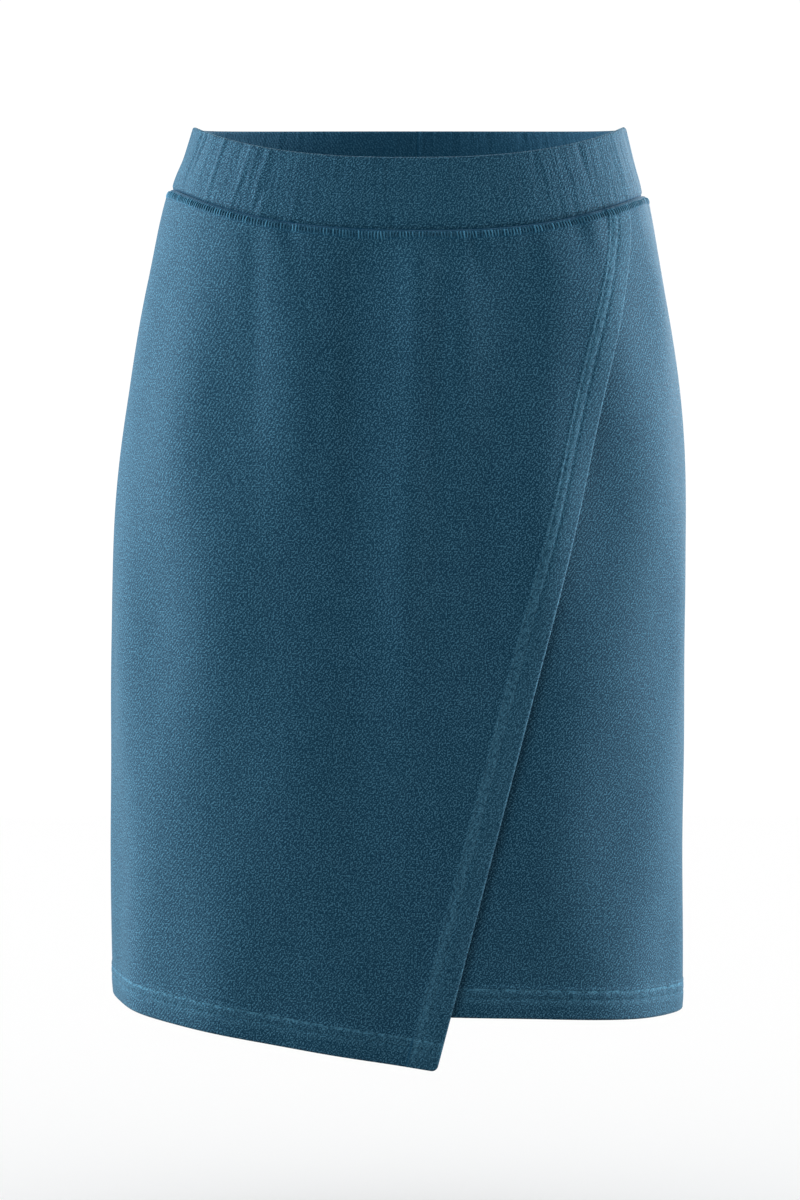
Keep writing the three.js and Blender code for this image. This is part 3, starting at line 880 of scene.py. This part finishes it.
def stitch_tree(material):
    """Geometry nodes that lay one bowed thread after another along a guide line."""
    tree = bpy.data.node_groups.new("stitch run", "GeometryNodeTree")
    tree.is_modifier = True
    tree.interface.new_socket("Guide", in_out="INPUT", socket_type="NodeSocketGeometry")
    tree.interface.new_socket("Stitches", in_out="OUTPUT", socket_type="NodeSocketGeometry")
    for name in ("Pitch", "Length", "Width", "Rise", "Turn", "Unevenness"):
        tree.interface.new_socket(name, in_out="INPUT", socket_type="NodeSocketFloat")
    tree.interface.new_socket("Seed", in_out="INPUT", socket_type="NodeSocketInt")
    given = add_node(tree, "NodeGroupInput").outputs
    curve = add_node(tree, "GeometryNodeMeshToCurve", {0: given["Guide"]}).outputs[0]
    evenly = {"Curve": curve, "Length": given["Pitch"]}
    points = add_node(tree, "GeometryNodeResampleCurve", evenly, mode="LENGTH").outputs[0]
    # A stitch is a bowed thread whose ends dip into the cloth.
    half = calc(tree, "MULTIPLY", given["Length"], 0.5)
    back = calc(tree, "MULTIPLY", half, -1.0)
    dip = calc(tree, "MULTIPLY", given["Width"], -0.4)
    crown = calc(tree, "MULTIPLY", given["Rise"], 2.0)
    first = add_node(tree, "ShaderNodeCombineXYZ", {0: back, 2: dip}).outputs[0]
    bow = add_node(tree, "ShaderNodeCombineXYZ", {2: crown}).outputs[0]
    last = add_node(tree, "ShaderNodeCombineXYZ", {0: half, 2: dip}).outputs[0]
    bend = {"Resolution": 4, "Start": first, "Middle": bow, "End": last}
    path = add_node(tree, "GeometryNodeCurveQuadraticBezier", bend).outputs[0]
    radius = calc(tree, "MULTIPLY", given["Width"], 0.5)
    ring = add_node(tree, "GeometryNodeCurvePrimitiveCircle", {"Resolution": 6, "Radius": radius}).outputs[0]
    swept = {"Curve": path, "Profile Curve": ring, "Fill Caps": True}
    thread = add_node(tree, "GeometryNodeCurveToMesh", swept).outputs[0]
    # Each lies flat on the cloth, turned to or across the line, a little unevenly.
    tangent = add_node(tree, "GeometryNodeInputTangent").outputs[0]
    out = add_node(tree, "GeometryNodeInputNamedAttribute", {"Name": "out"}, data_type="FLOAT_VECTOR")
    axes = {0: out.outputs[0], 1: tangent}
    flat = add_node(tree, "FunctionNodeAxesToRotation", axes, primary_axis="Z", secondary_axis="X").outputs[0]
    less = calc(tree, "MULTIPLY", given["Unevenness"], -1.0)
    swing = {2: less, 3: given["Unevenness"], "Seed": given["Seed"]}
    sway = add_node(tree, "FunctionNodeRandomValue", swing, data_type="FLOAT").outputs[1]
    angle = calc(tree, "ADD", given["Turn"], sway)
    spin = add_node(tree, "FunctionNodeAxisAngleToRotation", {"Axis": (0, 0, 1), "Angle": angle}).outputs[0]
    both = {0: flat, 1: spin}
    rotation = add_node(tree, "FunctionNodeRotateRotation", both, rotation_space="LOCAL").outputs[0]
    chance = {2: 0.0, 3: 1.0, "Seed": calc(tree, "ADD", given["Seed"], 1.0)}
    shade = add_node(tree, "FunctionNodeRandomValue", chance, data_type="FLOAT").outputs[1]
    size = calc(tree, "MULTIPLY_ADD", shade, 0.22, 0.86)
    each = {"Points": points, "Instance": thread, "Rotation": rotation, "Scale": size}
    laid = add_node(tree, "GeometryNodeInstanceOnPoints", each).outputs[0]
    tint = {"Geometry": laid, "Name": "shade", "Value": shade}
    tinted = add_node(tree, "GeometryNodeStoreNamedAttribute", tint, data_type="FLOAT", domain="INSTANCE")
    real = add_node(tree, "GeometryNodeRealizeInstances", {0: tinted.outputs[0]}).outputs[0]
    shown = add_node(tree, "GeometryNodeSetMaterial", {"Geometry": real, "Material": material}).outputs[0]
    add_node(tree, "NodeGroupOutput", {0: shown})
    return tree


def stitch_mesh(tree, points, normals, sizes):
    """The stitches along one guide line, as a plain mesh."""
    guide = bpy.data.meshes.new("guide")
    count = len(points)
    guide.from_pydata(points.tolist(), [(k, k + 1) for k in range(count - 1)], [])
    guide.attributes.new("out", "FLOAT_VECTOR", "POINT").data.foreach_set("vector", normals.ravel())
    carrier = bpy.data.objects.new("guide", guide)
    bpy.context.scene.collection.objects.link(carrier)
    modifier = carrier.modifiers.new("stitches", "NODES")
    modifier.node_group = tree
    for socket in tree.interface.items_tree:
        if socket.in_out == "INPUT" and socket.name in sizes:
            modifier[socket.identifier] = sizes[socket.name]
    depsgraph = bpy.context.evaluated_depsgraph_get()
    mesh = bpy.data.meshes.new_from_object(carrier.evaluated_get(depsgraph))
    carrier.modifiers.clear()
    bpy.data.objects.remove(carrier)
    return mesh


def stitched_piece(name, meshes, material):
    """Several runs of stitches as one piece."""
    joined = bmesh.new()
    for mesh in meshes:
        joined.from_mesh(mesh)
    result = bpy.data.meshes.new(name)
    joined.to_mesh(result)
    joined.free()
    result.polygons.foreach_set("use_smooth", [True] * len(result.polygons))
    result.materials.clear()
    result.materials.append(material)
    piece = bpy.data.objects.new(name, result)
    bpy.context.scene.collection.objects.link(piece)
    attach(piece, "root")
    return piece


def level_guide(panel, line, margin):
    """A guide along the waist seam or hem: line gives its level for an angle."""
    level = np.full(2, HIP_LEVEL)
    form = panel.pattern.form
    for _ in range(CROSSING_PASSES):
        ends = np.array(
            [
                form.further(panel.start(level[:1]), level[:1], margin)[0],
                form.further(panel.end(level[1:]), level[1:], -margin)[0],
            ]
        )
        level = line(ends)
    angle = np.linspace(ends[0], ends[1], 300)
    return panel.outer(angle, line(angle))


def upright_guide(panel, distance, top, bottom):
    """A guide that follows the panel's first upright edge at a distance."""
    level = np.linspace(top, bottom, 300)
    angle = panel.pattern.form.further(panel.start(level), level, distance)
    low = level > panel.hem(angle) + 1 * MM
    high = level < panel.pattern.waist_seam(angle) - 6.5 * MM
    return panel.outer(angle[low & high], level[low & high])


def skirt_panels(pattern):
    """The three panels by name."""
    return {
        name: ClothPanel(pattern, *lines)
        for name, lines in {
            "overlap_front": (pattern.wrap_edge, pattern.left_seam, pattern.overlap_hem, True),
            "underlap_front": (pattern.right_seam, pattern.hidden_edge, pattern.underlap_hem, False),
            "back": (pattern.left_seam, pattern.last_seam, pattern.back_hem, False),
        }.items()
    }


# ---- Waistband ----


class BandForm:
    """The ring that the waistband's outer face lies on, from its foot in the seam to its top fold."""

    def __init__(self, pattern, band):
        self.pattern = pattern
        self.band = band

    def foot(self, angle):
        form = self.pattern.form
        level = self.pattern.waist_seam(angle) + GAP
        return form.point(angle, level) - form.outward(angle, level) * self.band.inset

    def top(self, angle):
        band = self.band
        across, out = section(angle)
        depth = np.where(out > 0, band.front_depth, band.back_depth)
        height = band.rise * np.maximum(-out, 0) ** 1.3 - band.dip * np.maximum(out, 0) ** 1.9
        return np.stack([band.half_width * across, -depth * out, band.side_top + height], axis=-1)

    def face(self, angle, share):
        return blend(self.foot(angle), self.top(angle), share[..., None])


def gathers(band, angles, around, fallen, height):
    """How far the gathers push the band's outer and inner faces out."""
    random = np.random.default_rng(band.seed)
    total = around[-1]
    here = around[:-1, None]
    fall = fallen / height[:, None]
    out = np.zeros(fallen.shape)
    back = np.zeros(fallen.shape)
    for place in np.sort(random.uniform(0, total, band.gathers)):
        width = random.uniform(*GATHER_WIDTHS) * MM
        strength = random.normal(0, GATHER_SPREAD)
        fade = random.uniform(*GATHER_FADES)
        lean = random.uniform(-GATHER_LEAN, GATHER_LEAN)
        from_top = random.random() < GATHERS_FROM_TOP
        away = (here - place - lean * fallen + total / 2) % total - total / 2
        along = np.exp(-((fall / fade) ** 2)) if from_top else ease(fall, 1 - fade, 1)
        wave = strength * hump(away, 0, width) * along
        out += wave
        back += wave * random.uniform(0.2, 0.9)
    # They are strongest at the left of the front, and pressed flat along the top fold.
    towards_left = 0.55 + 0.75 * hump(np.cos(angles - math.radians(150)), 1, 0.5)
    settled = ease(fallen, 0, 2.5 * MM) * 0.7 + 0.3
    return out * band.gather_height * towards_left * settled, back * band.gather_height * 0.8


def band_piece(pattern, band, material):
    """One closed ring of folded, gathered cloth."""
    ring = BandForm(pattern, band)
    offsets = np.linspace(0, TURN, BAND_COLUMNS, endpoint=False)
    close = np.array(JOIN_STEPS) * MM / band.back_depth
    angle = BAND_JOIN + np.unique(np.concatenate([offsets, close, TURN - close]))
    foot = ring.foot(angle)
    steps = np.linalg.norm(np.roll(foot, -1, axis=0) - foot, axis=-1)
    around = np.concatenate([[0], np.cumsum(steps)])
    height = np.linalg.norm(ring.top(angle) - foot, axis=-1)
    rounding = band.thickness / 2
    near_top = np.concatenate([np.array(ROUND_STEPS) * rounding, np.array(BAND_TOP_STEPS) * MM])
    near_foot = np.concatenate([np.array(ROUND_STEPS) * BAND_FOOT_ROUNDING, np.array(BAND_FOOT_STEPS) * MM])
    from_top, from_foot, down = spacing(near_top, near_foot, BAND_ROWS)
    fallen = blend(from_top[None, :], (height + BAND_TUCK)[:, None] - from_foot[None, :], down[None, :])
    share = 1 - fallen / height[:, None]
    above_foot = share * height[:, None]
    angles = angle[:, None] + 0 * share
    normal = outward(ring.face, angles, share, 0.02)
    rim = np.sqrt(1 - (1 - np.clip(from_top / rounding, 0, 1)) ** 2)
    rim = rim * np.sqrt(1 - (1 - np.clip(from_foot / BAND_FOOT_ROUNDING, 0, 1)) ** 2)

    out, back = gathers(band, angles, around, fallen, height)
    # The seam draws the foot in, and the elastic swells it a little just above.
    drawn = 1.1 * MM * (1 - ease(above_foot, 0, 3 * MM)) - 0.5 * MM * hump(above_foot, 9 * MM, 9 * MM)
    total = around[-1]
    from_join = (around[:-1, None] + total / 2) % total - total / 2
    groove = JOIN_GROOVE * hump(from_join, 0, JOIN_GROOVE_WIDTH)
    outer = out - drawn - groove
    inner = -band.thickness + back + groove * 0.8 + 0.5 * MM * (1 - ease(share, -0.05, 0.06))
    middle = ring.face(angles, share) + normal * ((outer + inner) / 2)[..., None]
    half = (outer - inner) / 2 * rim[None, :]
    u = np.repeat(-around[:, None], share.shape[1], axis=1)
    v = np.vstack([-fallen, -fallen[:1]])
    far = np.full(share.shape, 1.0)
    attributes = {
        "below_waist": -above_foot,
        "above_hem": far,
        "from_wrap_edge": far,
        "from_side_seam": np.abs(from_join) + 0 * far,
        "facing_end": far,
    }
    uv = np.stack([u, v], axis=-1)
    piece = shell("waistband_ring", middle, half, normal, uv, attributes, closed=True)
    piece.data.materials.append(material)
    return piece


# ---- Operators ----


def build_panel(context, name, faced, replaced):
    """Makes one panel and hides the solids it stands for. A faced panel's first edge is turned in."""
    pattern = Pattern(context.scene)
    cloth = pattern.cloth
    near_end = edge_steps(cloth, SEAM_STEPS, False)
    near_start = edge_steps(cloth, TURNED_STEPS, True) if faced else near_end
    columns = spacing(near_start, near_end, PANEL_COLUMNS[name])
    piece = panel_piece(name, skirt_panels(pattern)[name], columns, twill(cloth, False))
    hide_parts(*replaced)
    return {"FINISHED"}


class SKIRT_OT_overlap(bpy.types.Operator):
    """Make the overlap front, whose slanting wrap edge and lower edge are turned in and stitched"""

    bl_idname = "skirt.overlap"
    bl_label = "Overlap front"

    def execute(self, context):
        return build_panel(context, "overlap_front", True, ("overlap_panel", "overlap_facing", "overlap_hem"))


class SKIRT_OT_underlap(bpy.types.Operator):
    """Make the underlap front, which runs from the right side seam to an edge hidden by the overlap"""

    bl_idname = "skirt.underlap"
    bl_label = "Underlap front"

    def execute(self, context):
        return build_panel(context, "underlap_front", False, ("underlap_panel", "underlap_hem"))


class SKIRT_OT_back(bpy.types.Operator):
    """Make the back panel, from side seam to side seam"""

    bl_idname = "skirt.back"
    bl_label = "Back"

    def execute(self, context):
        return build_panel(context, "back", False, ("back_panel", "back_hem"))


class SKIRT_OT_waistband(bpy.types.Operator):
    """Make the gathered waistband"""

    bl_idname = "skirt.waistband"
    bl_label = "Waistband"

    def execute(self, context):
        scene = context.scene
        piece = band_piece(Pattern(scene), scene.skirt_band, twill(scene.skirt_cloth, True))
        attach(piece, "root")
        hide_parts("waistband")
        return {"FINISHED"}


class SKIRT_OT_stitching(bpy.types.Operator):
    """Sew the waist seam, hems and wrap edge"""

    bl_idname = "skirt.stitching"
    bl_label = "Stitching"

    def execute(self, context):
        sizes = context.scene.skirt_stitching
        pattern = Pattern(context.scene)
        cloth = pattern.cloth
        material = made_material("spun thread", lambda: thread_material(cloth))
        tree = stitch_tree(material)
        ladder = {
            "Pitch": sizes.ladder_pitch,
            "Length": sizes.ladder_length,
            "Width": sizes.ladder_width,
            "Rise": LADDER_RISE,
            "Turn": math.radians(96),
            "Unevenness": math.radians(7),
        }
        line = {
            "Pitch": sizes.line_pitch,
            "Length": sizes.line_length,
            "Width": sizes.line_width,
            "Rise": STITCH_RISE,
            "Turn": 0.0,
            "Unevenness": math.radians(5),
        }
        seed = sizes.seed
        for name, panel in skirt_panels(pattern).items():
            runs = []
            seam = level_guide(panel, lambda a: pattern.waist_seam(a) - sizes.ladder_drop, MM)
            guides = [(seam, ladder)]
            for distance, rise in ((cloth.near_line, NEAR_LINE_RISE), (cloth.far_line, STITCH_RISE)):
                hem = level_guide(panel, lambda a: panel.hem(a) + distance, 1.6 * MM)
                guides.append((hem, {**line, "Rise": rise}))
                if panel.over:
                    # Pulled tight, these sink into the cloth below the hips' widest part.
                    low = {**line, "Rise": SUNK_RISE}
                    guides.append((upright_guide(panel, distance, SEAM_LEVEL, SUNK_BELOW), line))
                    guides.append((upright_guide(panel, distance, SUNK_BELOW, -600 * MM), low))
            for (points, normals), run in guides:
                seed += 1
                runs.append(stitch_mesh(tree, points, normals, {**run, "Seed": seed}))
            stitches = stitched_piece(name + "_stitching", runs, material)
        return {"FINISHED"}


def lay_floor(scene, level):
    """A wide matt white floor."""
    mesh = bpy.data.meshes.new("floor")
    corners = [(-FLOOR_REACH, -FLOOR_REACH), (FLOOR_REACH, -FLOOR_REACH)]
    corners += [(FLOOR_REACH, FLOOR_REACH), (-FLOOR_REACH, FLOOR_REACH)]
    mesh.from_pydata([(x, y, level) for x, y in corners], [], [(0, 1, 2, 3)])
    floor = bpy.data.objects.new("floor", mesh)
    scene.collection.objects.link(floor)
    paint = bpy.data.materials.new("matt white floor")
    paint.use_nodes = True
    coat = paint.node_tree.nodes["Principled BSDF"]
    coat.inputs["Base Color"].default_value = (FLOOR_WHITE, FLOOR_WHITE, FLOOR_WHITE, 1)
    coat.inputs["Roughness"].default_value = 0.9
    coat.inputs["Specular IOR Level"].default_value = 0.1
    mesh.materials.append(paint)
    floor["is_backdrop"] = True


def add_lamp(scene, lit, name, centre, place, size, watts):
    """A soft rectangular light aimed at the middle of the skirt. It lights only the cloth."""
    data = bpy.data.lights.new(name, "AREA")
    data.shape = "RECTANGLE"
    data.size, data.size_y = size
    data.energy = watts
    lamp = bpy.data.objects.new(name, data)
    lamp.location = centre + Vector(place)
    lamp.rotation_mode = "QUATERNION"
    lamp.rotation_quaternion = (centre - lamp.location).to_track_quat("-Z", "Y")
    lamp.visible_camera = False
    lamp.light_linking.receiver_collection = lit
    scene.collection.objects.link(lamp)


class SKIRT_OT_stage(bpy.types.Operator):
    """Set up the pale floor, the soft light and the camera"""

    bl_idname = "skirt.stage"
    bl_label = "Stage"

    def execute(self, context):
        scene = context.scene
        stage = scene.skirt_stage
        low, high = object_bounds()
        centre = (low + high) / 2
        lay_floor(scene, stage.floor_level)
        scene.world = bpy.data.worlds.new("white studio")
        scene.world.use_nodes = True
        sky = scene.world.node_tree.nodes["Background"]
        sky.inputs["Color"].default_value = (1, 1, 1, 1)
        sky.inputs["Strength"].default_value = SKY_STRENGTH
        lit = bpy.data.collections.new("lit cloth")
        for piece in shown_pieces():
            lit.objects.link(piece)
        for place in KEY_PLACES:
            add_lamp(scene, lit, "key", centre, place, KEY_SIZE, stage.key_power)
        for side, share in ((-1, 1.0), (1, stage.right_share)):
            across = math.sin(stage.side_angle * side) * stage.side_distance
            behind = -math.cos(stage.side_angle * side) * stage.side_distance
            place = (across, behind, SIDE_LIGHT_HEIGHT)
            add_lamp(scene, lit, "side light", centre, place, SIDE_LIGHT_SIZE, stage.side_power * share)
        data = bpy.data.cameras.new("camera")
        data.lens = LENS
        camera = bpy.data.objects.new("camera", data)
        camera.location = (CAMERA_X, -stage.camera_distance, HIP_LEVEL)
        camera.rotation_euler = (math.radians(90), 0, 0)
        scene.collection.objects.link(camera)
        scene.camera = camera
        scene.view_settings.view_transform = "Standard"
        return {"FINISHED"}


class SKIRT_PT_sidebar(bpy.types.Panel):
    """Lists the skirt's pieces, sizes and colours"""

    bl_idname = "SKIRT_PT_sidebar"
    bl_label = "Wrap Skirt"
    bl_space_type = "VIEW_3D"
    bl_region_type = "UI"
    bl_category = "Wrap Skirt"

    def draw(self, context):
        for operator in OPERATORS:
            self.layout.operator(operator.bl_idname)
        for key, group in GROUPS.items():
            box = self.layout.box()
            box.label(text=group.__doc__)
            for name in group.__annotations__:
                box.prop(getattr(context.scene, key), name)


GROUPS = {
    "skirt_form": SkirtForm,
    "skirt_cloth": SkirtCloth,
    "skirt_band": SkirtBand,
    "skirt_stitching": SkirtStitching,
    "skirt_stage": SkirtStage,
}
OPERATORS = (
    SKIRT_OT_overlap,
    SKIRT_OT_underlap,
    SKIRT_OT_back,
    SKIRT_OT_waistband,
    SKIRT_OT_stitching,
    SKIRT_OT_stage,
)


def register():
    for cls in (*GROUPS.values(), *OPERATORS, SKIRT_PT_sidebar):
        bpy.utils.register_class(cls)
    for key, group in GROUPS.items():
        setattr(bpy.types.Scene, key, PointerProperty(type=group))


def unregister():
    for key in GROUPS:
        delattr(bpy.types.Scene, key)
    for cls in reversed((*GROUPS.values(), *OPERATORS, SKIRT_PT_sidebar)):
        bpy.utils.unregister_class(cls)


def main():
    """Makes every piece in order."""
    register()
    for operator in OPERATORS:
        group, name = operator.bl_idname.split(".")
        getattr(getattr(bpy.ops, group), name)()


if __name__ == "__main__":
    main()
